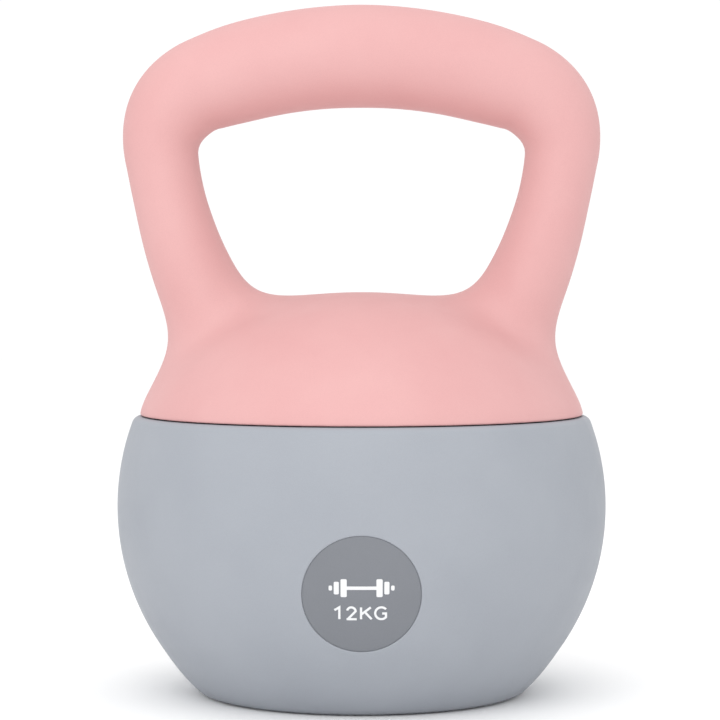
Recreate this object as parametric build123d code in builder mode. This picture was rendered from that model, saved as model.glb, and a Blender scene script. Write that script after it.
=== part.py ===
from build123d import *

import os
from math import cos, radians, sin, sqrt, tan

# A soft-bottomed 12 kg kettlebell: a moulded grip and shoulder over a steel core, and a soft bowl
# full of iron sand. Millimetres. +Z is up, the front with the badge faces -Y, and the origin is the
# centre of the base. Every finished piece is written to parts/ under its own name.

# --- The bell: a sphere, cut flat at the base and parted at the seam -------------------------------
BELL_R = 97.5
BELL_CENTRE_Z = 74.8
SEAM_Z = 110.5
LIP_ROUND = 3.5
FOOT_ROUND = 6.0

# --- The soft bowl ---------------------------------------------------------------------------------
BOWL_WALL = 5.0
FLOOR_Z = 7.0
MOUTH_R = 76.0
FLANGE_T = 6.0
RECESS_R = 34.0
RECESS_H = 2.5
RECESS_ROUND = 1.5

# --- The seam gasket -------------------------------------------------------------------------------
GASKET_T = 0.7
GASKET_R = 87.0

# --- The shoulder: a superellipse of revolution ------------------------------------------------------
DOME_R = 96.4
DOME_BASE_Z = 75.0
DOME_TOP_Z = 159.8
DOME_POWER = 2.3
RIM_R = 89.0
RIM_ROUND = 1.2
SPIGOT_GAP = 0.2

# --- The grip: three tangent arcs on each side, each ending at a slope measured from level -----------
GRIP_TOP_Z = 253.9
TOP_ARC_R = 182.0
CORNER_ARC_R = 27.0
LEG_ARC_R = 182.0
TOP_ARC_END = 20.0
CORNER_ARC_END = 98.0
# slope of the centreline, half thickness in the plane of the loop, half depth across it
GRIP_SECTIONS = [
    (0.0, 20.5, 20.8),
    (8.0, 20.3, 20.5),
    (16.0, 19.8, 20.1),
    (24.0, 18.9, 19.6),
    (32.0, 18.3, 19.3),
    (45.0, 17.9, 18.8),
    (58.0, 17.6, 18.4),
    (71.0, 16.7, 17.9),
    (85.0, 15.3, 17.2),
    (98.0, 14.4, 16.7),
    (103.0, 14.2, 16.6),
    (108.0, 14.5, 17.1),
    (113.0, 15.4, 18.4),
    (118.0, 17.7, 20.8),
    (123.0, 20.0, 23.2),
    (128.0, 21.8, 25.0),
]
ROOT_BLEND = 28.0

# --- The steel core inside the grip ------------------------------------------------------------------
CORE_R = 8.0
CORE_BORE_R = 6.0
CORE_STRAIGHT_FROM = 112.0
CORE_END_Z = 98.0
PLATE_R = 82.0
PLATE_T = 4.0
PLATE_ROUND = 1.0
WELD_LEG = 3.5
WELD_TAPER = 42.0

# --- The ring of screws that holds the shoulder on the plate ------------------------------------------
SCREW_COUNT = 8
SCREW_CIRCLE_R = 65.0
SCREW_R = 2.5
SCREW_HOLE_R = 2.75
SCREW_REACH = 13.0
HEAD_R = 4.25
HEAD_H = 5.0
SOCKET_ACROSS = 4.0
SOCKET_DEPTH = 2.5
WASHER_R = 5.0
WASHER_T = 1.0
INSERT_R = 3.5
INSERT_L = 10.0
INSERT_GROOVE = 0.5
INSERT_SET_BACK = 0.2

# --- The filler neck, plug and washer -----------------------------------------------------------------
NECK_R = 16.0
NECK_BORE_R = 12.0
NECK_TOP_Z = 18.0
NECK_FLANGE_R = 24.0
NECK_FLANGE_T = 2.5
SEAT_R = 14.4
SEAT_DEPTH = 3.0
PLUG_R = 11.9
PLUG_HEAD_R = 14.1
PLUG_HEAD_T = 2.0
PLUG_TOP_Z = 17.0
PLUG_BORE_R = 8.0
SEAL_T = 0.8
PLUG_BORE_FROM_Z = 8.0
COIN_SLOT_L = 18.0
COIN_SLOT_W = 2.6
COIN_SLOT_DEPTH = 1.2

# --- The iron sand --------------------------------------------------------------------------------------
SAND_GAP = 0.2
SAND_TOP_Z = 93.8

# --- The badge and its print ------------------------------------------------------------------------------
BADGE_R = 22.0
BADGE_Z = 49.5
BADGE_T = 1.2
BADGE_SET_BACK = 0.3
BADGE_GAP = 0.15
PRINT_T = 0.12
STROKE = 0.85
DIGIT_H = 5.4
TEXT_Z = 42.6
ICON_Z = 52.2
G_CENTRE_X = 7.3

PLATE_TOP_Z = SEAM_Z - FLANGE_T
PLATE_UNDER_Z = PLATE_TOP_Z - PLATE_T
COVER_UNDER_Z = SEAM_Z + GASKET_T
HEAD_TOP_Z = PLATE_UNDER_Z - WASHER_T
INSERT_Z = PLATE_TOP_Z + INSERT_SET_BACK
SHELL_R = BELL_R - BOWL_WALL
BADGE_FACE_R = BELL_R - BADGE_SET_BACK


def sphere_r(z, radius=BELL_R):
    """Radius at height z of a sphere about the bell's centre."""
    return sqrt(radius**2 - (z - BELL_CENTRE_Z) ** 2)


def dome_z(r):
    """Height of the shoulder's surface at radius r."""
    height = DOME_TOP_Z - DOME_BASE_Z
    return DOME_BASE_Z + height * (1 - (r / DOME_R) ** DOME_POWER) ** (1 / DOME_POWER)


# Each grip arc's centre lies on the line through the end of the arc before it.
TOP_ARC_CENTRE = (0.0, GRIP_TOP_Z - TOP_ARC_R)
CORNER_ARC_CENTRE = (
    TOP_ARC_CENTRE[0] + (TOP_ARC_R - CORNER_ARC_R) * sin(radians(TOP_ARC_END)),
    TOP_ARC_CENTRE[1] + (TOP_ARC_R - CORNER_ARC_R) * cos(radians(TOP_ARC_END)),
)
LEG_ARC_CENTRE = (
    CORNER_ARC_CENTRE[0] + (CORNER_ARC_R - LEG_ARC_R) * sin(radians(CORNER_ARC_END)),
    CORNER_ARC_CENTRE[1] + (CORNER_ARC_R - LEG_ARC_R) * cos(radians(CORNER_ARC_END)),
)


def grip_point(slope):
    """(x, z) on the grip's centreline where it slopes by that many degrees; negative slopes are on the left."""
    turn = abs(slope)
    if turn <= TOP_ARC_END:
        centre, radius = TOP_ARC_CENTRE, TOP_ARC_R
    elif turn <= CORNER_ARC_END:
        centre, radius = CORNER_ARC_CENTRE, CORNER_ARC_R
    else:
        centre, radius = LEG_ARC_CENTRE, LEG_ARC_R
    x = centre[0] + radius * sin(radians(turn))
    z = centre[1] + radius * cos(radians(turn))
    return (x if slope >= 0 else -x), z


def grip_plane(slope):
    """Plane square to the grip's centreline, with its Y axis pointing out of the loop."""
    x, z = grip_point(slope)
    along = (cos(radians(slope)), 0, -sin(radians(slope)))
    return Plane(origin=(x, 0, z), x_dir=(0, 1, 0), z_dir=along)


def core_leg_end():
    """(x, z) where the core's straight leg ends, below the plate."""
    x, z = grip_point(CORE_STRAIGHT_FROM)
    return x - (z - CORE_END_Z) * tan(radians(CORE_STRAIGHT_FROM - 90)), CORE_END_Z


def write(part, name):
    """Labels a finished piece and writes its STEP file."""
    part.label = name
    os.makedirs("parts", exist_ok=True)
    export_step(part, f"parts/{name}.step")


# ============================ handle_core: a bent steel tube =========================================
with BuildLine(Plane.XZ) as core_path:
    left_end, right_end = (-core_leg_end()[0], core_leg_end()[1]), core_leg_end()
    bends = [-CORE_STRAIGHT_FROM, -CORNER_ARC_END, -TOP_ARC_END, TOP_ARC_END, CORNER_ARC_END, CORE_STRAIGHT_FROM]
    Line(left_end, grip_point(bends[0]))
    for start, end in zip(bends, bends[1:]):
        ThreePointArc(grip_point(start), grip_point((start + end) / 2), grip_point(end))
    Line(grip_point(bends[-1]), right_end)

core_start = Plane(origin=core_path.line @ 0, z_dir=core_path.line % 0)

with BuildPart() as core_outside:
    with BuildSketch(core_start):
        Circle(CORE_R)
    sweep(path=core_path.line)

with BuildPart() as handle_core:
    with BuildSketch(core_start):
        Circle(CORE_R)
        Circle(CORE_BORE_R, mode=Mode.SUBTRACT)
    sweep(path=core_path.line)
write(handle_core.part, "handle_core")

# ============================ handle_cover: the moulded grip and shoulder =============================
with BuildPart() as grip:
    for slope, thick, deep in GRIP_SECTIONS[:0:-1]:
        with BuildSketch(grip_plane(-slope)):
            Ellipse(deep, thick)
    for slope, thick, deep in GRIP_SECTIONS:
        with BuildSketch(grip_plane(slope)):
            Ellipse(deep, thick)
    loft()

with BuildPart() as handle_cover:
    with BuildSketch(Plane.YZ):
        with BuildLine():
            crown = [(r, dome_z(r)) for r in (0, 26, 48, 66, 79)]
            rim_top = (RIM_R, dome_z(RIM_R))
            rim_slope = (1.5, dome_z(RIM_R) - dome_z(RIM_R - 1.5))
            Spline(*crown, rim_top, tangents=[(1, 0), rim_slope])
            Polyline(rim_top, (RIM_R, COVER_UNDER_Z), (MOUTH_R - SPIGOT_GAP, COVER_UNDER_Z),
                     (MOUTH_R - SPIGOT_GAP, PLATE_TOP_Z), (0, PLATE_TOP_Z), crown[0])
        make_face()
    revolve(axis=Axis.Z)
    shoulder_edges = handle_cover.edges()
    add(grip.part)
    fillet([edge for edge in handle_cover.edges() - shoulder_edges
            if edge.bounding_box().size.Y > 2 * CORE_R and edge.center().Z < DOME_TOP_Z], radius=ROOT_BLEND)
    fillet(handle_cover.edges().filter_by(GeomType.CIRCLE).filter_by(lambda edge: edge.radius > RIM_R - 0.1),
           radius=RIM_ROUND)
    add(core_outside.part, mode=Mode.SUBTRACT)
    with Locations((0, 0, PLATE_TOP_Z)):
        with PolarLocations(SCREW_CIRCLE_R, SCREW_COUNT, start_angle=180 / SCREW_COUNT):
            Cylinder(INSERT_R, INSERT_SET_BACK + INSERT_L, align=(Align.CENTER, Align.CENTER, Align.MIN),
                     mode=Mode.SUBTRACT)
write(handle_cover.part, "handle_cover")

# ============================ core_plate: the disc the legs are welded through =========================
with BuildPart() as core_plate:
    with BuildSketch(Plane.XY.offset(PLATE_UNDER_Z)):
        Circle(PLATE_R)
        with PolarLocations(SCREW_CIRCLE_R, SCREW_COUNT, start_angle=180 / SCREW_COUNT):
            Circle(SCREW_HOLE_R, mode=Mode.SUBTRACT)
    extrude(amount=PLATE_T)
    fillet(core_plate.edges().filter_by(GeomType.CIRCLE).filter_by(lambda edge: edge.radius > PLATE_R - 0.1),
           radius=PLATE_ROUND)
    add(core_outside.part, mode=Mode.SUBTRACT)
write(core_plate.part, "core_plate")

# ============================ leg_welds: a bead round each leg under the plate =========================
with BuildPart() as leg_welds:
    bead_x = core_leg_end()[0] + (PLATE_UNDER_Z - WELD_LEG / 2 - CORE_END_Z) * tan(radians(CORE_STRAIGHT_FROM - 90))
    with BuildSketch(Plane.XY.offset(PLATE_UNDER_Z)):
        with Locations((-bead_x, 0), (bead_x, 0)):
            Circle(CORE_R + WELD_LEG)
    extrude(amount=-WELD_LEG, taper=WELD_TAPER)
    add(core_outside.part, mode=Mode.SUBTRACT)
write(leg_welds.part, "leg_welds")

# ============================ plate_screws, plate_washers, threaded_inserts ============================
with BuildPart() as plate_screws:
    with PolarLocations(SCREW_CIRCLE_R, SCREW_COUNT, start_angle=180 / SCREW_COUNT):
        with Locations((0, 0, HEAD_TOP_Z - HEAD_H)):
            Cylinder(HEAD_R, HEAD_H, align=(Align.CENTER, Align.CENTER, Align.MIN))
        with Locations((0, 0, HEAD_TOP_Z)):
            Cylinder(SCREW_R, SCREW_REACH, align=(Align.CENTER, Align.CENTER, Align.MIN))
    chamfer(plate_screws.edges().filter_by(GeomType.CIRCLE).group_by(Axis.Z)[0], length=0.5)
    with BuildSketch(Plane.XY.offset(HEAD_TOP_Z - HEAD_H)):
        with PolarLocations(SCREW_CIRCLE_R, SCREW_COUNT, start_angle=180 / SCREW_COUNT):
            RegularPolygon(SOCKET_ACROSS / 2, 6, major_radius=False)
    extrude(amount=SOCKET_DEPTH, mode=Mode.SUBTRACT)
write(plate_screws.part, "plate_screws")

with BuildPart() as plate_washers:
    with BuildSketch(Plane.XY.offset(HEAD_TOP_Z)):
        with PolarLocations(SCREW_CIRCLE_R, SCREW_COUNT, start_angle=180 / SCREW_COUNT):
            Circle(WASHER_R)
            Circle(SCREW_HOLE_R, mode=Mode.SUBTRACT)
    extrude(amount=WASHER_T)
write(plate_washers.part, "plate_washers")

with BuildPart() as threaded_inserts:
    with BuildSketch(Plane.XY.offset(INSERT_Z)):
        with PolarLocations(SCREW_CIRCLE_R, SCREW_COUNT, start_angle=180 / SCREW_COUNT):
            Circle(INSERT_R)
            Circle(SCREW_R, mode=Mode.SUBTRACT)
    extrude(amount=INSERT_L)
    with BuildSketch(Plane.XY.offset(INSERT_Z + INSERT_L / 3)):
        with PolarLocations(SCREW_CIRCLE_R, SCREW_COUNT, start_angle=180 / SCREW_COUNT):
            Circle(INSERT_R)
            Circle(INSERT_R - INSERT_GROOVE, mode=Mode.SUBTRACT)
    extrude(amount=INSERT_L / 3, mode=Mode.SUBTRACT)
write(threaded_inserts.part, "threaded_inserts")

# ============================ seam_gasket: the dark line between the two colours =======================
with BuildPart() as seam_gasket:
    with BuildSketch(Plane.XY.offset(SEAM_Z)):
        Circle(GASKET_R)
        Circle(MOUTH_R, mode=Mode.SUBTRACT)
    extrude(amount=GASKET_T)
write(seam_gasket.part, "seam_gasket")

# ============================ bowl: the soft lower half ================================================
with BuildPart() as badge_pocket:
    with Locations(Plane(origin=(0, 0, BADGE_Z), z_dir=(0, -1, 0))):
        Cylinder(BADGE_R + BADGE_GAP, BELL_R + 10, align=(Align.CENTER, Align.CENTER, Align.MIN))
    with Locations((0, 0, BELL_CENTRE_Z)):
        Sphere(BADGE_FACE_R - BADGE_T, mode=Mode.SUBTRACT)

with BuildPart() as bowl:
    with BuildSketch(Plane.XZ) as bowl_profile:
        with BuildLine():
            Polyline((NECK_R, FLOOR_Z), (NECK_R, RECESS_H), (RECESS_R, RECESS_H), (RECESS_R, 0),
                     (sphere_r(0), 0))
            ThreePointArc((sphere_r(0), 0), (BELL_R, BELL_CENTRE_Z), (sphere_r(SEAM_Z), SEAM_Z))
            Polyline((sphere_r(SEAM_Z), SEAM_Z), (MOUTH_R, SEAM_Z), (MOUTH_R, PLATE_TOP_Z),
                     (sphere_r(PLATE_TOP_Z, SHELL_R), PLATE_TOP_Z))
            ThreePointArc((sphere_r(PLATE_TOP_Z, SHELL_R), PLATE_TOP_Z), (SHELL_R, BELL_CENTRE_Z),
                          (sphere_r(FLOOR_Z, SHELL_R), FLOOR_Z))
            Line((sphere_r(FLOOR_Z, SHELL_R), FLOOR_Z), (NECK_R, FLOOR_Z))
        make_face()
        fillet(bowl_profile.vertices().sort_by_distance((sphere_r(0), 0))[0], radius=FOOT_ROUND)
        fillet(bowl_profile.vertices().sort_by_distance((sphere_r(SEAM_Z), SEAM_Z))[0], radius=LIP_ROUND)
        fillet(bowl_profile.vertices().sort_by_distance((RECESS_R, 0))[0], radius=RECESS_ROUND)
    revolve(axis=Axis.Z)
    add(badge_pocket.part, mode=Mode.SUBTRACT)
write(bowl.part, "bowl")

# ============================ iron_sand: the ballast ===================================================
with BuildPart() as iron_sand:
    with BuildSketch(Plane.XZ):
        with BuildLine():
            sand_r = SHELL_R - SAND_GAP
            low_z = FLOOR_Z + SAND_GAP
            ThreePointArc((sphere_r(low_z, sand_r), low_z), (sand_r, BELL_CENTRE_Z),
                          (sphere_r(SAND_TOP_Z, sand_r), SAND_TOP_Z))
            Polyline((sphere_r(SAND_TOP_Z, sand_r), SAND_TOP_Z), (0, SAND_TOP_Z), (0, NECK_TOP_Z + SAND_GAP),
                     (NECK_R + SAND_GAP, NECK_TOP_Z + SAND_GAP),
                     (NECK_R + SAND_GAP, low_z + NECK_FLANGE_T),
                     (NECK_FLANGE_R + SAND_GAP, low_z + NECK_FLANGE_T),
                     (NECK_FLANGE_R + SAND_GAP, low_z), (sphere_r(low_z, sand_r), low_z))
        make_face()
    revolve(axis=Axis.Z)
write(iron_sand.part, "iron_sand")

# ============================ filler_neck, filler_plug, plug_seal ======================================
with BuildPart() as filler_neck:
    with BuildSketch(Plane.XZ):
        with BuildLine():
            Polyline((NECK_BORE_R, RECESS_H + SEAT_DEPTH), (NECK_BORE_R, NECK_TOP_Z), (NECK_R, NECK_TOP_Z),
                     (NECK_R, FLOOR_Z + NECK_FLANGE_T), (NECK_FLANGE_R, FLOOR_Z + NECK_FLANGE_T),
                     (NECK_FLANGE_R, FLOOR_Z), (NECK_R, FLOOR_Z), (NECK_R, RECESS_H), (SEAT_R, RECESS_H),
                     (SEAT_R, RECESS_H + SEAT_DEPTH), close=True)
        make_face()
    revolve(axis=Axis.Z)
write(filler_neck.part, "filler_neck")

PLUG_SHOULDER_Z = RECESS_H + SEAT_DEPTH - SEAL_T
with BuildPart() as filler_plug:
    with BuildSketch(Plane.XZ):
        with BuildLine():
            Polyline((0, PLUG_SHOULDER_Z - PLUG_HEAD_T), (PLUG_HEAD_R, PLUG_SHOULDER_Z - PLUG_HEAD_T),
                     (PLUG_HEAD_R, PLUG_SHOULDER_Z), (PLUG_R, PLUG_SHOULDER_Z), (PLUG_R, PLUG_TOP_Z),
                     (PLUG_BORE_R, PLUG_TOP_Z), (PLUG_BORE_R, PLUG_BORE_FROM_Z), (0, PLUG_BORE_FROM_Z), close=True)
        make_face()
    revolve(axis=Axis.Z)
    chamfer(filler_plug.edges().filter_by(GeomType.CIRCLE).group_by(Axis.Z)[0], length=0.4)
    with BuildSketch(Plane.XY.offset(PLUG_SHOULDER_Z - PLUG_HEAD_T)):
        SlotOverall(COIN_SLOT_L, COIN_SLOT_W)
    extrude(amount=COIN_SLOT_DEPTH, mode=Mode.SUBTRACT)
write(filler_plug.part, "filler_plug")

with BuildPart() as plug_seal:
    with BuildSketch(Plane.XY.offset(PLUG_SHOULDER_Z)):
        Circle(PLUG_HEAD_R)
        Circle(NECK_BORE_R, mode=Mode.SUBTRACT)
    extrude(amount=SEAL_T)
write(plug_seal.part, "plug_seal")

# ============================ badge: a round plate let into the front of the bowl ======================
with BuildPart() as badge:
    with Locations(Plane(origin=(0, 0, BADGE_Z), z_dir=(0, -1, 0))):
        Cylinder(BADGE_R, BELL_R, align=(Align.CENTER, Align.CENTER, Align.MIN))
    with Locations((0, 0, BELL_CENTRE_Z)):
        Sphere(BADGE_FACE_R, mode=Mode.INTERSECT)
        Sphere(BADGE_FACE_R - BADGE_T, mode=Mode.SUBTRACT)
write(badge.part, "badge")

# ============================ badge_print: a dumbbell sign over the weight =============================
with BuildPart() as badge_print:
    with BuildSketch(Plane.XZ):
        with Locations((0, ICON_Z)):
            RectangleRounded(13.0, 1.3, 0.4)
            for x, width, height in ((6.6, 2.3, 6.8), (9.3, 1.9, 4.8), (11.5, 1.3, 1.9)):
                with Locations((-x, 0), (x, 0)):
                    RectangleRounded(width, height, 0.5)
        low, high = TEXT_Z - (DIGIT_H - STROKE) / 2, TEXT_Z + (DIGIT_H - STROKE) / 2
        with BuildLine():
            Polyline((-10.0, high - 1.1), (-8.2, high), (-8.2, low))
        trace(line_width=STROKE)
        with BuildLine():
            ThreePointArc((-5.3, high - 1.2), (-3.7, high), (-2.2, high - 1.5))
            Line((-2.2, high - 1.5), (-5.0, low + 0.1))
            Line((-5.55, low), (-1.8, low))
        trace(line_width=STROKE)
        with BuildLine():
            Line((-0.2, low), (-0.2, high))
            Line((-0.2, TEXT_Z - 0.5), (3.4, high))
            Line((1.1, TEXT_Z + 0.6), (3.7, low))
        trace(line_width=STROKE)
        with BuildLine():
            letter_r = (high - low) / 2
            letter_end = (G_CENTRE_X + letter_r * cos(radians(42)), TEXT_Z - letter_r * sin(radians(42)))
            CenterArc((G_CENTRE_X, TEXT_Z), letter_r, 42, 276)
            Polyline(letter_end, (letter_end[0], TEXT_Z - 0.1), (G_CENTRE_X + 0.3, TEXT_Z - 0.1))
        trace(line_width=STROKE)
    extrude(amount=BELL_R + 10)
    with Locations((0, 0, BELL_CENTRE_Z)):
        Sphere(BADGE_FACE_R + PRINT_T, mode=Mode.INTERSECT)
        Sphere(BADGE_FACE_R, mode=Mode.SUBTRACT)
write(badge_print.part, "badge_print")
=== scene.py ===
import math

import bmesh
import bpy
import numpy as np
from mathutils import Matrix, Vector
from mathutils.geometry import delaunay_2d_cdt


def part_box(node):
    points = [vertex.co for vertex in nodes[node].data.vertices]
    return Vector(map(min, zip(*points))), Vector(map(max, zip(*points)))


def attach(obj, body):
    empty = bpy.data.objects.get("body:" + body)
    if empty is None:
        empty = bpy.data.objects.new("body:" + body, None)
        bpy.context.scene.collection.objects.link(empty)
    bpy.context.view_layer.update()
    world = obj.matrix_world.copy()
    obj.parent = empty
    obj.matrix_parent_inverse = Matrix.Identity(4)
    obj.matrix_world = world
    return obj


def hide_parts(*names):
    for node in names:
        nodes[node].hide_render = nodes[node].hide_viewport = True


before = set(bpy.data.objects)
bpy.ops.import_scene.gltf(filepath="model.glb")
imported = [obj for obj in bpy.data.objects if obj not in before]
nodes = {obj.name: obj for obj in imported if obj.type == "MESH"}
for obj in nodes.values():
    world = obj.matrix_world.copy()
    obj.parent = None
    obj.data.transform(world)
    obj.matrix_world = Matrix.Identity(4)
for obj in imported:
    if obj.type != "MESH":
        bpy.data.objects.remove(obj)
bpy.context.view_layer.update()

# ---------------------------------------------------------------------------------------------------
# Shapes are worked out in millimetres in the frame's own axes, and meshes are written in metres.
# ---------------------------------------------------------------------------------------------------
MM = 0.001

# The bell: a sphere cut flat at the base and parted at the seam.
BELL_R = 97.5
BELL_Z = 74.8
SEAM_Z = 110.5
LIP_ROUND = 3.5
FOOT_ROUND = 9.0
SHELL_R = 92.5
FLOOR_Z = 7.0
MOUTH_R = 76.0
FLANGE_UNDER_Z = 104.5
RECESS_R = 34.0
RECESS_H = 2.5
RECESS_ROUND = 1.5
NECK_R = 16.0
# Near the foot the wall stands proud of the sphere by this much, starting below this height.
FOOT_SWELL = 1.2
FOOT_SWELL_Z = 20.0
# Outside the gasket the lip stands a little higher, so the seam is a thin line.
LIP_RISE = 0.3
LIP_INNER_R = 87.0

# The badge and its pocket in the bowl's front. The badge fills the pocket but for a hair.
BADGE_R = 22.1
BADGE_Z = 49.5
BADGE_FACE_R = 97.2
BADGE_BACK_R = 96.0
POCKET_R = 22.15

# The shoulder: a superellipse of revolution, cut by a short rim wall over the seam.
DOME_R = 96.4
DOME_BASE_Z = 75.0
DOME_H = 85.0
DOME_POWER = 2.2
RIM_R = 89.0
COVER_UNDER_Z = 111.2
WALL_TOP_Z = 125.0
RIM_WALL_ROUND = 4.0
RIM_EDGE_ROUND = 1.4

# The grip: tangent arcs on each side, with its section given by the centreline's slope from level.
GRIP_TOP_Z = 254.0
TOP_ARC_R = 182.0
CORNER_ARC_R = 27.0
LEG_ARC_R = 200.0
TOP_ARC_END = 20.0
CORNER_ARC_END = 98.0
LEG_ARC_END = 135.0
# Slope in degrees, half thickness in the plane of the loop, half depth across it. The rows down to 103
# degrees are the CAD's own; the last three shape the root, which is blended here instead of filleted.
GRIP_SECTIONS = np.array([
    (0, 20.5, 20.8),
    (16, 19.8, 20.1),
    (32, 18.3, 19.3),
    (58, 17.6, 18.4),
    (85, 15.3, 17.2),
    (98, 14.4, 16.7),
    (103, 14.2, 16.6),
    (112, 16.0, 17.5),
    (123, 14.0, 20.5),
    (135, 18.0, 24.0),
])
# The section is averaged over this length of the grip to each side.
SECTION_SMOOTHING = 12.0
# How far the grip and the shoulder melt together, at the loop's sides and at its faces.
SIDE_BLEND = 38.0
FACE_BLEND = 16.0
# The cover's mesh: its cell size, and finer levels in a band over the rim's rounded edge.
COVER_CELL = 1.75
RIM_CELL = 0.4
RIM_BAND = 3.8


# ---------------------------------------------------------------------------------------------------
# The moulded cover as one smooth surface: a distance field, meshed and then pulled exactly onto it.
# ---------------------------------------------------------------------------------------------------
def direction(slope):
    """Unit vector out of the loop, in x and z, where the grip slopes by that many degrees."""
    angle = np.radians(slope)
    return np.sin(angle), np.cos(angle)


def next_centre(centre, slope, radius, next_radius):
    """Centre of the arc that carries on from another one without a kink."""
    out_x, out_z = direction(slope)
    return centre[0] + (radius - next_radius) * out_x, centre[1] + (radius - next_radius) * out_z


top_centre = (0.0, GRIP_TOP_Z - TOP_ARC_R)
corner_centre = next_centre(top_centre, TOP_ARC_END, TOP_ARC_R, CORNER_ARC_R)
leg_centre = next_centre(corner_centre, CORNER_ARC_END, CORNER_ARC_R, LEG_ARC_R)
GRIP_ARCS = (
    (top_centre, TOP_ARC_R, 0.0, TOP_ARC_END),
    (corner_centre, CORNER_ARC_R, TOP_ARC_END, CORNER_ARC_END),
    (leg_centre, LEG_ARC_R, CORNER_ARC_END, LEG_ARC_END),
)


def smooth_column(column):
    """One column of the section table against length along the grip, averaged so its steps leave no bands."""
    lengths = np.interp(GRIP_SECTIONS[:, 0], arc_slopes, arc_lengths)
    mirrored = np.concatenate([-lengths[:0:-1], lengths])
    values = np.concatenate([GRIP_SECTIONS[:0:-1, column], GRIP_SECTIONS[:, column]])
    even = np.interp(table_lengths, mirrored, values)
    margin = len(window) // 2
    padded = np.concatenate([np.full(margin, even[0]), even, np.full(margin, even[-1])])
    return np.convolve(padded, window, mode="valid")


arc_slopes = [0.0, TOP_ARC_END, CORNER_ARC_END, LEG_ARC_END]
arc_lengths = np.concatenate([[0.0], np.cumsum([radius * math.radians(end - start)
                                                for _, radius, start, end in GRIP_ARCS])])
table_lengths = np.arange(-40.0, arc_lengths[-1], 0.5)
window = np.hanning(int(2 * SECTION_SMOOTHING / 0.5) + 1)
window /= window.sum()
thick_table = smooth_column(1)
deep_table = smooth_column(2)


def smooth_min(a, b, reach):
    """The smaller of two distances, rounded off where they are within reach of each other."""
    near = np.maximum(reach - np.abs(a - b), 0.0) / reach
    return np.minimum(a, b) - near**3 * reach / 6.0


def smooth_max(a, b, reach):
    """The larger of two distances, rounded off in the same way."""
    return -smooth_min(-a, -b, reach)


def grip_distance(x, y, z):
    """Distance from the grip's surface, and how much a point faces front or back rather than along x."""
    x = np.abs(x)
    best = np.full(x.shape, 1e9)
    slope = np.zeros(x.shape)
    across = np.zeros(x.shape)
    along = np.zeros(x.shape)
    for centre, radius, start, end in GRIP_ARCS:
        turn = np.clip(np.degrees(np.arctan2(x - centre[0], z - centre[1])), start, end)
        out_x, out_z = direction(turn)
        gap_x = x - centre[0] - radius * out_x
        gap_z = z - centre[1] - radius * out_z
        gap = np.hypot(gap_x, gap_z)
        closer = gap < best
        best = np.where(closer, gap, best)
        slope = np.where(closer, turn, slope)
        across = np.where(closer, gap_x * out_x + gap_z * out_z, across)
        along = np.where(closer, gap_x * out_z - gap_z * out_x, along)
    length = np.interp(slope, arc_slopes, arc_lengths)
    thick = np.interp(length, table_lengths, thick_table)
    deep = np.interp(length, table_lengths, deep_table)
    in_plane = (across / thick) ** 2 + (along / thick) ** 2
    sideways = (y / deep) ** 2
    scaled = np.sqrt(in_plane + sideways) + 1e-9
    steepness = np.sqrt(in_plane / thick**2 + sideways / deep**2) / scaled + 1e-9
    return (scaled - 1.0) / steepness, sideways / scaled**2


def dome_distance(x, y, z):
    """Distance from the shoulder's superellipse."""
    radius = np.hypot(x, y) / DOME_R + 1e-9
    height = np.maximum(z - DOME_BASE_Z, 0.0) / DOME_H + 1e-9
    scaled = (radius**DOME_POWER + height**DOME_POWER) ** (1 / DOME_POWER)
    power = DOME_POWER - 1
    steepness = np.hypot((radius / scaled) ** power / DOME_R, (height / scaled) ** power / DOME_H)
    return (scaled - 1.0) / steepness


def cover_distance(points):
    """Distance from the whole cover's surface, negative inside."""
    x, y, z = points[..., 0], points[..., 1], points[..., 2]
    grip, facing = grip_distance(x, y, z)
    reach = SIDE_BLEND + (FACE_BLEND - SIDE_BLEND) * facing
    body = smooth_min(grip, dome_distance(x, y, z), reach)
    wall = np.where(z < WALL_TOP_Z, np.hypot(x, y) - RIM_R, -50.0)
    body = smooth_max(body, wall, RIM_WALL_ROUND)
    return smooth_max(body, COVER_UNDER_Z - z, RIM_EDGE_ROUND)


def gradient(distance, points, step=0.05):
    """Slope of a distance field at each point."""
    columns = []
    for axis in range(3):
        offset = np.zeros(3)
        offset[axis] = step
        columns.append(distance(points + offset) - distance(points - offset))
    return np.stack(columns, axis=-1) / (2 * step)


def pull_on(distance, points, rounds=4):
    """Moves points onto the field's zero surface."""
    for _ in range(rounds):
        slope = gradient(distance, points)
        points = points - slope * (distance(points) / (slope**2).sum(-1))[:, None]
    return points


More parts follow.
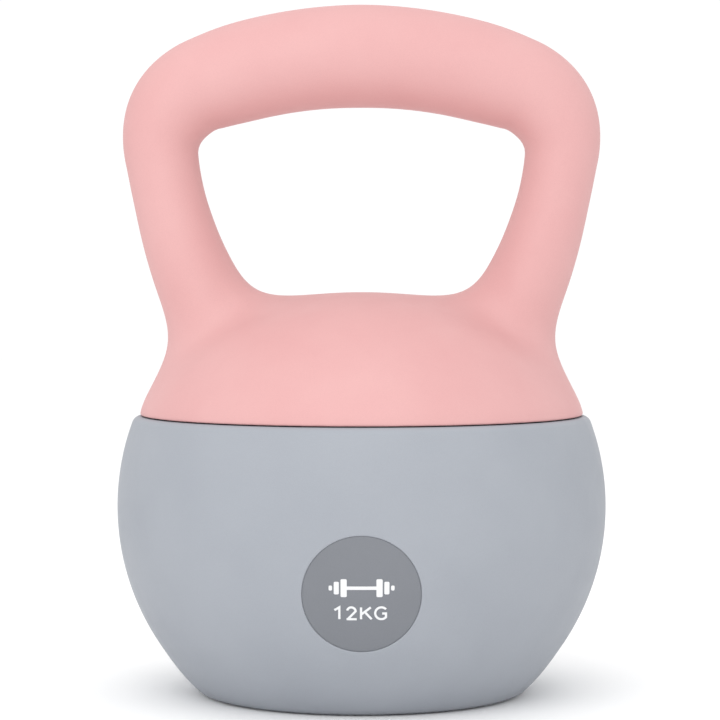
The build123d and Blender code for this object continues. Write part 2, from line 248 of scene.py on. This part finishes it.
def surface_net(distance, xs, ys, zs):
    """A quad mesh of the field's zero surface on a grid, one vertex in each cell that the surface crosses."""
    grid = np.stack(np.meshgrid(xs, ys, zs, indexing="ij"), axis=-1)
    field = distance(grid)
    inside = field < 0
    corners = [(i, j, k) for i in (0, 1) for j in (0, 1) for k in (0, 1)]
    shape = tuple(n - 1 for n in field.shape)

    def corner(values, at):
        return values[at[0]:at[0] + shape[0], at[1]:at[1] + shape[1], at[2]:at[2] + shape[2]]

    count = sum(corner(inside, at).astype(int) for at in corners)
    crossed = (count > 0) & (count < 8)
    total = np.zeros((int(crossed.sum()), 3))
    crossings = np.zeros(len(total))
    for at in corners:
        for axis in range(3):
            if at[axis]:
                continue
            other = tuple(v + (n == axis) for n, v in enumerate(at))
            a, b = corner(field, at)[crossed], corner(field, other)[crossed]
            cut = (a < 0) != (b < 0)
            share = np.where(cut, a / np.where(cut, a - b, 1.0), 0.0)[:, None]
            start, end = corner(grid, at)[crossed], corner(grid, other)[crossed]
            total += np.where(cut[:, None], start + (end - start) * share, 0.0)
            crossings += cut
    points = total / crossings[:, None]
    number = np.full(shape, -1)
    number[crossed] = np.arange(len(points))

    quads = []
    for axis in range(3):
        u, v = [n for n in range(3) if n != axis]
        ahead = [slice(None, n) for n in shape]
        ahead[axis] = slice(1, shape[axis] + 1)
        here = inside[tuple(slice(None, n) for n in shape)]
        at = np.argwhere(here != inside[tuple(ahead)])
        at = at[(at[:, u] > 0) & (at[:, v] > 0)]
        step_u, step_v = np.eye(3, dtype=int)[u], np.eye(3, dtype=int)[v]
        ring = [at, at - step_u, at - step_u - step_v, at - step_v]
        quads.append(np.stack([number[tuple(r.T)] for r in ring], axis=1))
    quads = np.concatenate(quads)
    facing = np.cross(points[quads[:, 2]] - points[quads[:, 0]], points[quads[:, 3]] - points[quads[:, 1]])
    inward = (facing * gradient(distance, points[quads].mean(axis=1))).sum(-1) < 0
    quads[inward] = quads[inward, ::-1]
    return points, quads


def relax(distance, points, quads, rounds):
    """Evens out the quads while keeping every vertex on the surface."""
    pairs = np.concatenate([quads[:, [n, (n + 1) % 4]] for n in range(4)])
    for _ in range(rounds):
        total = np.zeros_like(points)
        touching = np.zeros(len(points))
        for a, b in ((0, 1), (1, 0)):
            np.add.at(total, pairs[:, a], points[pairs[:, b]])
            np.add.at(touching, pairs[:, a], 1)
        points = pull_on(distance, 0.5 * points + 0.5 * total / touching[:, None], rounds=1)
    return points


def new_object(name, points, faces, material, normals=None):
    """A smooth-shaded mesh object from millimetre points, riding on the kettlebell."""
    mesh = bpy.data.meshes.new(name)
    mesh.from_pydata((np.asarray(points) * MM).tolist(), [], [list(map(int, face)) for face in faces])
    mesh.shade_smooth()
    mesh.materials.append(material)
    if normals is not None:
        mesh.normals_split_custom_set_from_vertices(normals.tolist())
    piece = bpy.data.objects.new(name, mesh)
    bpy.context.scene.collection.objects.link(piece)
    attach(piece, "root")
    return piece


# ---------------------------------------------------------------------------------------------------
# Materials
# ---------------------------------------------------------------------------------------------------
CLOUD_SCALE = 26.0
CLOUD_SHARE = 0.35
FLECK_SCALE = 2600.0
FLECK_SHARE = 0.6
RUB_SCALE = 60.0
RIPPLE_SCALE = 38.0
RIPPLE_DEPTH = 0.25


def soft_plastic(name, tone, lighter, darker, roughness, grain, grain_depth):
    """Matte moulded plastic: faint clouding, pale flecks, rubbed patches and a fine grain."""
    material = bpy.data.materials.new(name)
    material.use_nodes = True
    tree = material.node_tree
    shader = tree.nodes["Principled BSDF"]
    place = tree.nodes.new("ShaderNodeTexCoord")

    def noise(scale, detail, rough=0.5):
        node = tree.nodes.new("ShaderNodeTexNoise")
        node.inputs["Scale"].default_value = scale
        node.inputs["Detail"].default_value = detail
        node.inputs["Roughness"].default_value = rough
        tree.links.new(place.outputs["Object"], node.inputs["Vector"])
        return node.outputs["Fac"]

    def ramp(source, low, high, stops):
        node = tree.nodes.new("ShaderNodeValToRGB")
        node.color_ramp.elements[0].position = low
        node.color_ramp.elements[1].position = high
        node.color_ramp.elements[0].color = stops[0]
        node.color_ramp.elements[1].color = stops[1]
        tree.links.new(source, node.inputs["Fac"])
        return node.outputs["Color"]

    def mix(kind, amount, first, second):
        node = tree.nodes.new("ShaderNodeMix")
        node.data_type = "RGBA"
        node.blend_type = kind
        node.inputs["Factor"].default_value = amount
        colour_in = [socket for socket in node.inputs if socket.type == "RGBA"]
        tree.links.new(first, colour_in[0])
        tree.links.new(second, colour_in[1])
        return [socket for socket in node.outputs if socket.type == "RGBA"][0]

    clouds = ramp(noise(CLOUD_SCALE, 4.0), 0.32, 0.68, (darker, lighter))
    base = tree.nodes.new("ShaderNodeRGB")
    base.outputs[0].default_value = tone
    coloured = mix("MIX", CLOUD_SHARE, base.outputs[0], clouds)
    flecks = ramp(noise(FLECK_SCALE, 2.0, 0.6), 0.30, 0.62, ((0.93, 0.93, 0.93, 1), (1, 1, 1, 1)))
    tree.links.new(mix("MULTIPLY", FLECK_SHARE, coloured, flecks), shader.inputs["Base Color"])

    low_rough, high_rough = roughness
    rough = tree.nodes.new("ShaderNodeMapRange")
    rough.inputs["From Min"].default_value = 0.3
    rough.inputs["From Max"].default_value = 0.7
    rough.inputs["To Min"].default_value = low_rough
    rough.inputs["To Max"].default_value = high_rough
    tree.links.new(noise(RUB_SCALE, 6.0, 0.65), rough.inputs["Value"])
    tree.links.new(rough.outputs["Result"], shader.inputs["Roughness"])

    fine = tree.nodes.new("ShaderNodeBump")
    fine.inputs["Strength"].default_value = 0.35
    fine.inputs["Distance"].default_value = grain_depth * MM
    tree.links.new(noise(grain, 3.0, 0.6), fine.inputs["Height"])
    broad = tree.nodes.new("ShaderNodeBump")
    broad.inputs["Strength"].default_value = 0.25
    broad.inputs["Distance"].default_value = RIPPLE_DEPTH * MM
    tree.links.new(noise(RIPPLE_SCALE, 2.0), broad.inputs["Height"])
    tree.links.new(fine.outputs["Normal"], broad.inputs["Normal"])
    tree.links.new(broad.outputs["Normal"], shader.inputs["Normal"])
    shader.inputs["Specular IOR Level"].default_value = 0.35
    return material


def metal(name, colour, roughness, streaks, stretch=(1, 1, 1)):
    """Metal with drawn or cast variation in colour, roughness and height."""
    material = bpy.data.materials.new(name)
    material.use_nodes = True
    tree = material.node_tree
    shader = tree.nodes["Principled BSDF"]
    place = tree.nodes.new("ShaderNodeTexCoord")
    mapping = tree.nodes.new("ShaderNodeMapping")
    mapping.inputs["Scale"].default_value = stretch
    tree.links.new(place.outputs["Object"], mapping.inputs["Vector"])
    noise = tree.nodes.new("ShaderNodeTexNoise")
    noise.inputs["Scale"].default_value = streaks
    noise.inputs["Detail"].default_value = 6.0
    tree.links.new(mapping.outputs["Vector"], noise.inputs["Vector"])
    tint = tree.nodes.new("ShaderNodeValToRGB")
    tint.color_ramp.elements[0].position = 0.3
    tint.color_ramp.elements[1].position = 0.7
    tint.color_ramp.elements[0].color = tuple(c * 0.72 for c in colour) + (1,)
    tint.color_ramp.elements[1].color = colour + (1,)
    tree.links.new(noise.outputs["Fac"], tint.inputs["Fac"])
    tree.links.new(tint.outputs["Color"], shader.inputs["Base Color"])
    rough = tree.nodes.new("ShaderNodeMapRange")
    rough.inputs["To Min"].default_value = roughness - 0.1
    rough.inputs["To Max"].default_value = roughness + 0.15
    tree.links.new(noise.outputs["Fac"], rough.inputs["Value"])
    tree.links.new(rough.outputs["Result"], shader.inputs["Roughness"])
    bump = tree.nodes.new("ShaderNodeBump")
    bump.inputs["Strength"].default_value = 0.3
    bump.inputs["Distance"].default_value = 0.05 * MM
    tree.links.new(noise.outputs["Fac"], bump.inputs["Height"])
    tree.links.new(bump.outputs["Normal"], shader.inputs["Normal"])
    shader.inputs["Metallic"].default_value = 1.0
    return material


pink = soft_plastic("soft_pink", (0.65, 0.355, 0.35, 1), (0.67, 0.39, 0.385, 1), (0.61, 0.315, 0.315, 1),
                    (0.50, 0.62), 1500.0, 0.045)
grey = soft_plastic("soft_grey", (0.325, 0.345, 0.38, 1), (0.35, 0.37, 0.41, 1), (0.30, 0.32, 0.36, 1),
                    (0.48, 0.60), 1500.0, 0.06)
badge_grey = soft_plastic("badge_grey", (0.185, 0.195, 0.215, 1), (0.20, 0.21, 0.235, 1),
                          (0.17, 0.18, 0.20, 1), (0.36, 0.46), 3200.0, 0.02)
ink = soft_plastic("white_ink", (0.76, 0.765, 0.775, 1), (0.80, 0.81, 0.82, 1), (0.69, 0.70, 0.715, 1),
                   (0.40, 0.55), 2800.0, 0.02)
rubber = soft_plastic("black_rubber", (0.028, 0.027, 0.033, 1), (0.040, 0.038, 0.045, 1),
                      (0.018, 0.017, 0.022, 1), (0.55, 0.75), 1800.0, 0.05)
neck_grey = soft_plastic("neck_grey", (0.19, 0.20, 0.22, 1), (0.23, 0.24, 0.26, 1), (0.15, 0.16, 0.18, 1),
                         (0.42, 0.58), 2000.0, 0.04)
sand_black = soft_plastic("iron_sand", (0.07, 0.066, 0.064, 1), (0.16, 0.15, 0.145, 1),
                          (0.03, 0.028, 0.027, 1), (0.55, 0.85), 900.0, 0.6)
steel = metal("core_steel", (0.42, 0.42, 0.43), 0.42, 160.0, (1, 1, 0.15))
zinc = metal("zinc_screws", (0.58, 0.58, 0.60), 0.34, 420.0)
brass = metal("turned_brass", (0.74, 0.54, 0.24), 0.30, 380.0, (1, 1, 6))

NODE_MATERIALS = {
    "handle_core": steel, "core_plate": steel, "leg_welds": steel, "plate_screws": zinc,
    "plate_washers": zinc, "threaded_inserts": brass, "iron_sand": sand_black,
    "filler_neck": neck_grey, "filler_plug": neck_grey, "plug_seal": rubber, "badge_print": ink,
}
for node, material in NODE_MATERIALS.items():
    for slot in nodes[node].material_slots:
        slot.material = material


# ---------------------------------------------------------------------------------------------------
# handle_cover: the moulded grip and shoulder
# ---------------------------------------------------------------------------------------------------
def steps(low, high, size):
    """Evenly spaced values from low to high, about a size apart."""
    return np.linspace(low, high, int(round((high - low) / size)) + 1)


cover_low, cover_high = [np.array(corner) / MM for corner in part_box("handle_cover")]
margin = 2.0 * COVER_CELL
rim_levels = steps(COVER_UNDER_Z - 1.0, COVER_UNDER_Z + RIM_BAND, RIM_CELL)
upper_levels = steps(COVER_UNDER_Z + RIM_BAND, cover_high[2] + margin, COVER_CELL)[1:]
points, quads = surface_net(
    cover_distance,
    steps(cover_low[0] - margin, cover_high[0] + margin, COVER_CELL),
    steps(cover_low[1] - margin, cover_high[1] + margin, COVER_CELL),
    np.concatenate([rim_levels, upper_levels]),
)
points = relax(cover_distance, pull_on(cover_distance, points), quads, rounds=3)
points = pull_on(cover_distance, points)
outward = gradient(cover_distance, points)
outward /= np.linalg.norm(outward, axis=1)[:, None]
cover = new_object("moulded_cover", points, quads, pink, outward)
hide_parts("handle_cover")


# ---------------------------------------------------------------------------------------------------
# bowl: turned from one outline, with the badge's pocket let into its front
# ---------------------------------------------------------------------------------------------------
TURN_STEPS = 288


def turned(outline):
    """Points and faces of a closed outline of (radius, height) pairs turned about the upright axis."""
    turns = np.radians(np.arange(TURN_STEPS) * 360.0 / TURN_STEPS)
    rows = len(outline)
    points = [(r * math.cos(t), r * math.sin(t), z) for r, z in outline for t in turns]
    faces = [
        (row * TURN_STEPS + n, row * TURN_STEPS + (n + 1) % TURN_STEPS,
         (row + 1) % rows * TURN_STEPS + (n + 1) % TURN_STEPS, (row + 1) % rows * TURN_STEPS + n)
        for row in range(rows) for n in range(TURN_STEPS)
    ]
    return points, faces


def sphere_r(z, radius):
    """Radius at height z of a sphere about the bell's centre."""
    return math.sqrt(radius**2 - (z - BELL_Z) ** 2)


def arc(centre, radius, start, end, count):
    """Points of an arc in the outline's plane; angles in degrees from the outward direction."""
    return [(centre[0] + radius * math.cos(a), centre[1] + radius * math.sin(a))
            for a in np.radians(np.linspace(start, end, count))]


def sphere_arc(radius, low_z, high_z, count):
    """Points up the bell's wall between two heights."""
    low, high = [math.degrees(math.asin((z - BELL_Z) / radius)) for z in (low_z, high_z)]
    return arc((0.0, BELL_Z), radius, low, high, count)


def ball_in_corner(flat_z, radius, flat_is_above):
    """Centre and contact angle of a rounding between the bell's wall and a flat at that height."""
    centre_z = flat_z - radius if flat_is_above else flat_z + radius
    centre_r = math.sqrt((BELL_R - radius) ** 2 - (centre_z - BELL_Z) ** 2)
    return (centre_r, centre_z), math.degrees(math.atan2(centre_z - BELL_Z, centre_r))


foot_centre, foot_angle = ball_in_corner(0.0, FOOT_ROUND, False)
lip_centre, lip_angle = ball_in_corner(SEAM_Z + LIP_RISE, LIP_ROUND, True)
foot_z = foot_centre[1] + FOOT_ROUND * math.sin(math.radians(foot_angle))
lip_z = lip_centre[1] + LIP_ROUND * math.sin(math.radians(lip_angle))
outline = [(r, RECESS_H) for r in np.linspace(NECK_R + 0.2, RECESS_R, 5)]
outline += arc((RECESS_R + RECESS_ROUND, RECESS_ROUND), RECESS_ROUND, 180, 270, 8)
outline += [(r, 0.0) for r in np.linspace(RECESS_R + RECESS_ROUND, foot_centre[0], 8)[1:-1]]
outline += arc(foot_centre, FOOT_ROUND, -90, foot_angle, 14)
wall_start = len(outline)
outline += sphere_arc(BELL_R, foot_z, lip_z, 72)[1:-1]
wall_end = len(outline)
outline += arc(lip_centre, LIP_ROUND, lip_angle, 90, 14)
outline += [(LIP_INNER_R, SEAM_Z + LIP_RISE), (LIP_INNER_R, SEAM_Z)]
outline += [(r, SEAM_Z) for r in np.linspace(LIP_INNER_R, MOUTH_R, 5)[1:]]
outline += [(MOUTH_R, FLANGE_UNDER_Z)]
outline += sphere_arc(SHELL_R, FLANGE_UNDER_Z, FLOOR_Z, 40)
outline += [(r, FLOOR_Z) for r in np.linspace(sphere_r(FLOOR_Z, SHELL_R), NECK_R + 0.2, 6)[1:]]

# The wall stands a little proud of the sphere towards the foot.
for number, (r, z) in enumerate(outline[:wall_end]):
    share = min(max((FOOT_SWELL_Z - z) / FOOT_SWELL_Z, 0.0), 1.0)
    if r > RECESS_R + RECESS_ROUND:
        outline[number] = (r + FOOT_SWELL * share**2 * (3 - 2 * share), z)

points, faces = turned(outline)


def badge_polar(point):
    """Distance from the badge's axis, which runs front to back."""
    return math.hypot(point[0], point[2] - BADGE_Z)


def front_of_sphere(x, z, radius):
    """The point of a sphere about the bell's centre that is in front of (x, z)."""
    return x, -math.sqrt(radius**2 - x**2 - (z - BELL_Z) ** 2), z


# Faces of the outer wall near the badge make way for rings that follow the pocket's round edge.
PATCH_R = 27.5
PATCH_MARGIN = 1.5
RING_STEPS = 144
on_wall = range((wall_start - 1) * TURN_STEPS, (wall_end + 1) * TURN_STEPS)
cleared = [
    face for face in faces
    if all(n in on_wall for n in face) and min(badge_polar(points[n]) for n in face) < PATCH_R + PATCH_MARGIN
    and points[face[0]][1] < 0
]
cleared_faces = set(cleared)
kept = [face for face in faces if face not in cleared_faces]
edges = {}
for face in cleared:
    for a, b in zip(face, face[1:] + face[:1]):
        edges[(a, b)] = True
rim_edges = [(a, b) for a, b in edges if (b, a) not in edges]
next_on_rim = dict(rim_edges)
loop = [rim_edges[0][0]]
while next_on_rim[loop[-1]] != loop[0]:
    loop.append(next_on_rim[loop[-1]])


def ring(radius, sphere_radius):
    """Adds a ring about the badge's axis on a sphere, and returns its vertices' numbers."""
    first = len(points)
    for n in range(RING_STEPS):
        turn = 2 * math.pi * n / RING_STEPS
        x, z = radius * math.cos(turn), BADGE_Z + radius * math.sin(turn)
        points.append(front_of_sphere(x, z, sphere_radius))
    return list(range(first, first + RING_STEPS))


def strip(outer, inner):
    """Quads between two rings of the same count."""
    return [(outer[n], outer[(n + 1) % RING_STEPS], inner[(n + 1) % RING_STEPS], inner[n])
            for n in range(RING_STEPS)]


pocket_rings = [ring(r, s) for r, s in (
    (PATCH_R, BELL_R), (25.8, BELL_R), (24.3, BELL_R), (23.2, BELL_R), (22.75, BELL_R),
    (22.5, BELL_R - 0.04), (22.3, BELL_R - 0.14), (22.2, BELL_R - 0.28), (POCKET_R, BELL_R - 0.45),
    (POCKET_R, BADGE_BACK_R), (16.0, BADGE_BACK_R), (8.0, BADGE_BACK_R), (1.5, BADGE_BACK_R),
)]
outer_ring = pocket_rings[0]
flat = [Vector((points[n][0], points[n][2])) for n in loop + outer_ring]
borders = [(n, (n + 1) % len(loop)) for n in range(len(loop))]
borders += [(len(loop) + n, len(loop) + (n + 1) % RING_STEPS) for n in range(RING_STEPS)]
triangles = delaunay_2d_cdt(flat, borders, [], 0, 1e-6)[2]
join = []
loop_corners = np.array([tuple(flat[n]) for n in range(len(loop))])


def within_loop(x, z):
    """Whether a place in the front view lies inside the cleared patch's outline."""
    ax, az = loop_corners[:, 0], loop_corners[:, 1]
    bx, bz = np.roll(ax, -1), np.roll(az, -1)
    spans = (az > z) != (bz > z)
    hits = x < ax + (z - az) * (bx - ax) / np.where(spans, bz - az, 1.0)
    return (spans & hits).sum() % 2 == 1


# A triangle with all its corners on the ring lies inside it, where the pocket goes.
for triangle in triangles:
    x, z = [sum(flat[n][i] for n in triangle) / 3 for i in (0, 1)]
    if min(triangle) < len(loop) and within_loop(x, z):
        join.append(tuple((loop + outer_ring)[n] for n in triangle))

faces = kept + join
for outer, inner in zip(pocket_rings, pocket_rings[1:]):
    faces += strip(outer, inner)
faces.append(tuple(pocket_rings[-1]))
bowl = new_object("soft_bowl", points, faces, grey)
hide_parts("bowl")

# ---------------------------------------------------------------------------------------------------
# badge: a thin domed disc with a soft edge, seated in its pocket
# ---------------------------------------------------------------------------------------------------
points = []
badge_rings = [ring(r, s) for r, s in (
    (1.5, BADGE_BACK_R + 0.02), (12.0, BADGE_BACK_R + 0.02), (21.8, BADGE_BACK_R + 0.02),
    (BADGE_R, BADGE_BACK_R + 0.2), (BADGE_R, BADGE_FACE_R - 0.14), (21.96, BADGE_FACE_R - 0.07),
    (21.88, BADGE_FACE_R - 0.02), (21.75, BADGE_FACE_R), (21.2, BADGE_FACE_R),
    (20.0, BADGE_FACE_R), (16.0, BADGE_FACE_R), (11.0, BADGE_FACE_R), (6.0, BADGE_FACE_R),
    (1.5, BADGE_FACE_R),
)]
faces = [tuple(badge_rings[0][::-1]), tuple(badge_rings[-1])]
for outer, inner in zip(badge_rings, badge_rings[1:]):
    faces += strip(outer, inner)
badge = new_object("round_badge", points, faces, badge_grey)
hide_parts("badge")

# ---------------------------------------------------------------------------------------------------
# seam_gasket: a flat ring whose outer edge is squeezed round
# ---------------------------------------------------------------------------------------------------
half = (COVER_UNDER_Z - SEAM_Z) / 2
gasket_outline = [(MOUTH_R, COVER_UNDER_Z), (MOUTH_R, SEAM_Z)]
gasket_outline += arc((LIP_INNER_R - half, SEAM_Z + half), half, -90, 90, 9)
points, faces = turned(gasket_outline)
gasket = new_object("rolled_gasket", points, faces, rubber)
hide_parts("seam_gasket")

# Every closed piece gets its faces turned outward in one go.
for piece in (bowl, badge, gasket):
    mesh = piece.data
    shell = bmesh.new()
    shell.from_mesh(mesh)
    bmesh.ops.recalc_face_normals(shell, faces=shell.faces)
    shell.to_mesh(mesh)
    shell.free()
    mesh.set_sharp_from_angle(angle=math.radians(40))

# ---------------------------------------------------------------------------------------------------
# Stage, light and camera
# ---------------------------------------------------------------------------------------------------
FLOOR_HALF = 4.0
FLOOR_DROP = 0.0002
floor_material = bpy.data.materials.new("pale_floor")
floor_material.use_nodes = True
floor_shader = floor_material.node_tree.nodes["Principled BSDF"]
floor_shader.inputs["Base Color"].default_value = (0.98, 0.98, 0.98, 1)
floor_shader.inputs["Roughness"].default_value = 0.9
floor_mesh = bpy.data.meshes.new("floor")
corners = [(x * FLOOR_HALF, y * FLOOR_HALF, -FLOOR_DROP) for x, y in ((-1, -1), (1, -1), (1, 1), (-1, 1))]
floor_mesh.from_pydata(corners, [], [(0, 1, 2, 3)])
floor_mesh.materials.append(floor_material)
floor = bpy.data.objects.new("floor", floor_mesh)
bpy.context.scene.collection.objects.link(floor)

world = bpy.data.worlds.new("studio")
bpy.context.scene.world = world
world.use_nodes = True
world.node_tree.nodes["Background"].inputs["Color"].default_value = (1.0, 1.0, 1.0, 1)
world.node_tree.nodes["Background"].inputs["Strength"].default_value = 1.03
bpy.context.scene.view_settings.view_transform = "Standard"


def soft_light(name, place, aim, size, power):
    """A square area light aimed at a point."""
    light = bpy.data.lights.new(name, "AREA")
    light.shape = "SQUARE"
    light.size = size
    light.energy = power
    lamp = bpy.data.objects.new(name, light)
    lamp.location = place
    lamp.rotation_euler = (Vector(aim) - Vector(place)).to_track_quat("-Z", "Y").to_euler()
    bpy.context.scene.collection.objects.link(lamp)


centre = (0.0, 0.0, 0.14)
soft_light("front_left", (-0.30, -1.3, 0.85), centre, 1.3, 7.4)
soft_light("overhead", (0.0, -0.2, 1.5), centre, 1.4, 3.6)

# A long lens a little above the middle of the object, tipped slightly down at it.
CAMERA_PLACE = (0.0, -1.1144, 0.1708)
CAMERA_TIP = 1.95
camera_data = bpy.data.cameras.new("camera")
camera_data.sensor_width = 36.0
camera_data.lens = 139.3
camera_data.clip_end = 20.0
camera_data.shift_x = -0.0022
camera = bpy.data.objects.new("camera", camera_data)
camera.location = CAMERA_PLACE
camera.rotation_euler = (math.radians(90.0 - CAMERA_TIP), 0.0, 0.0)
bpy.context.scene.collection.objects.link(camera)
bpy.context.scene.camera = camera
